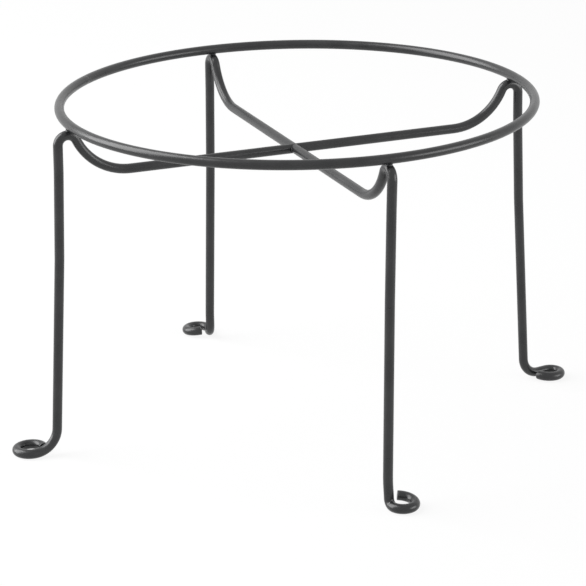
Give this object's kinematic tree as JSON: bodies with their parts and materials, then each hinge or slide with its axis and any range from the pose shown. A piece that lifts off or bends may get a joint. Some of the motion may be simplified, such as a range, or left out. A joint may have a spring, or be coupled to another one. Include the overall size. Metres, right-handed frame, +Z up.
{
  "type": "plant stand",
  "caption": "Low round plant stand of dark coated steel wire: a ring over crossed bars that carry the pot, on slim legs with curled feet.",
  "frame": {"origin": "on the floor, under the middle of the stand's box", "axes": "+Z up; +X along the rod pair that runs from the left foot to the right foot; +Y along the one-piece rod from the front foot to the back foot"},
  "size_m": [0.3794, 0.362, 0.2144],
  "materials": {
    "powder_coat": "satin"
  },
  "bodies": {
    "root": {"top_ring": "powder_coat", "ring_seam_weld": "powder_coat", "front_back_rod": "powder_coat", "right_rod": "powder_coat", "cross_weld_right": "powder_coat", "left_rod": "powder_coat", "cross_weld_left": "powder_coat", "ring_weld_right_inner": "powder_coat", "ring_weld_right_outer": "powder_coat", "ring_weld_back_inner": "powder_coat", "ring_weld_back_outer": "powder_coat", "ring_weld_left_inner": "powder_coat", "ring_weld_left_outer": "powder_coat", "ring_weld_front_inner": "powder_coat", "ring_weld_front_outer": "powder_coat"}
  },
  "joints": []
}
